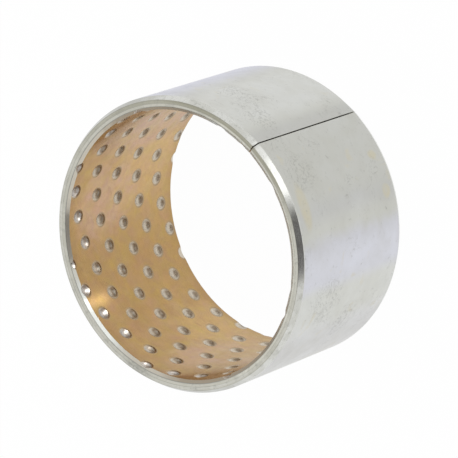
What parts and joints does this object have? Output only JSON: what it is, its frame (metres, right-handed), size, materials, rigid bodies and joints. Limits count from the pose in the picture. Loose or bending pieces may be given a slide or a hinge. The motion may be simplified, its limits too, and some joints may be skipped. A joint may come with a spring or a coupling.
{
  "type": "wrapped plain bushing",
  "caption": "Wrapped plain bushing: a rolled steel strip with a bonded bronze lining, a straight butt joint, chamfered ends and slanted rows of round grease dimples in its bore.",
  "frame": {"origin": "on the bushing's axis, in the plane of its lower end face", "axes": "+Z along the axis, upwards as the ring stands on its end; +X towards the butt joint"},
  "size_m": [0.055, 0.055, 0.0325],
  "materials": {
    "tinned_steel": "tin-plated mild steel strip, satin, with faint clouds and handling marks",
    "bronze": "bored tin bronze land, satin, with silver tin flash left in the dimples"
  },
  "bodies": {
    "root": {"steel_back": "tinned_steel", "bronze_lining": "bronze"}
  },
  "joints": []
}
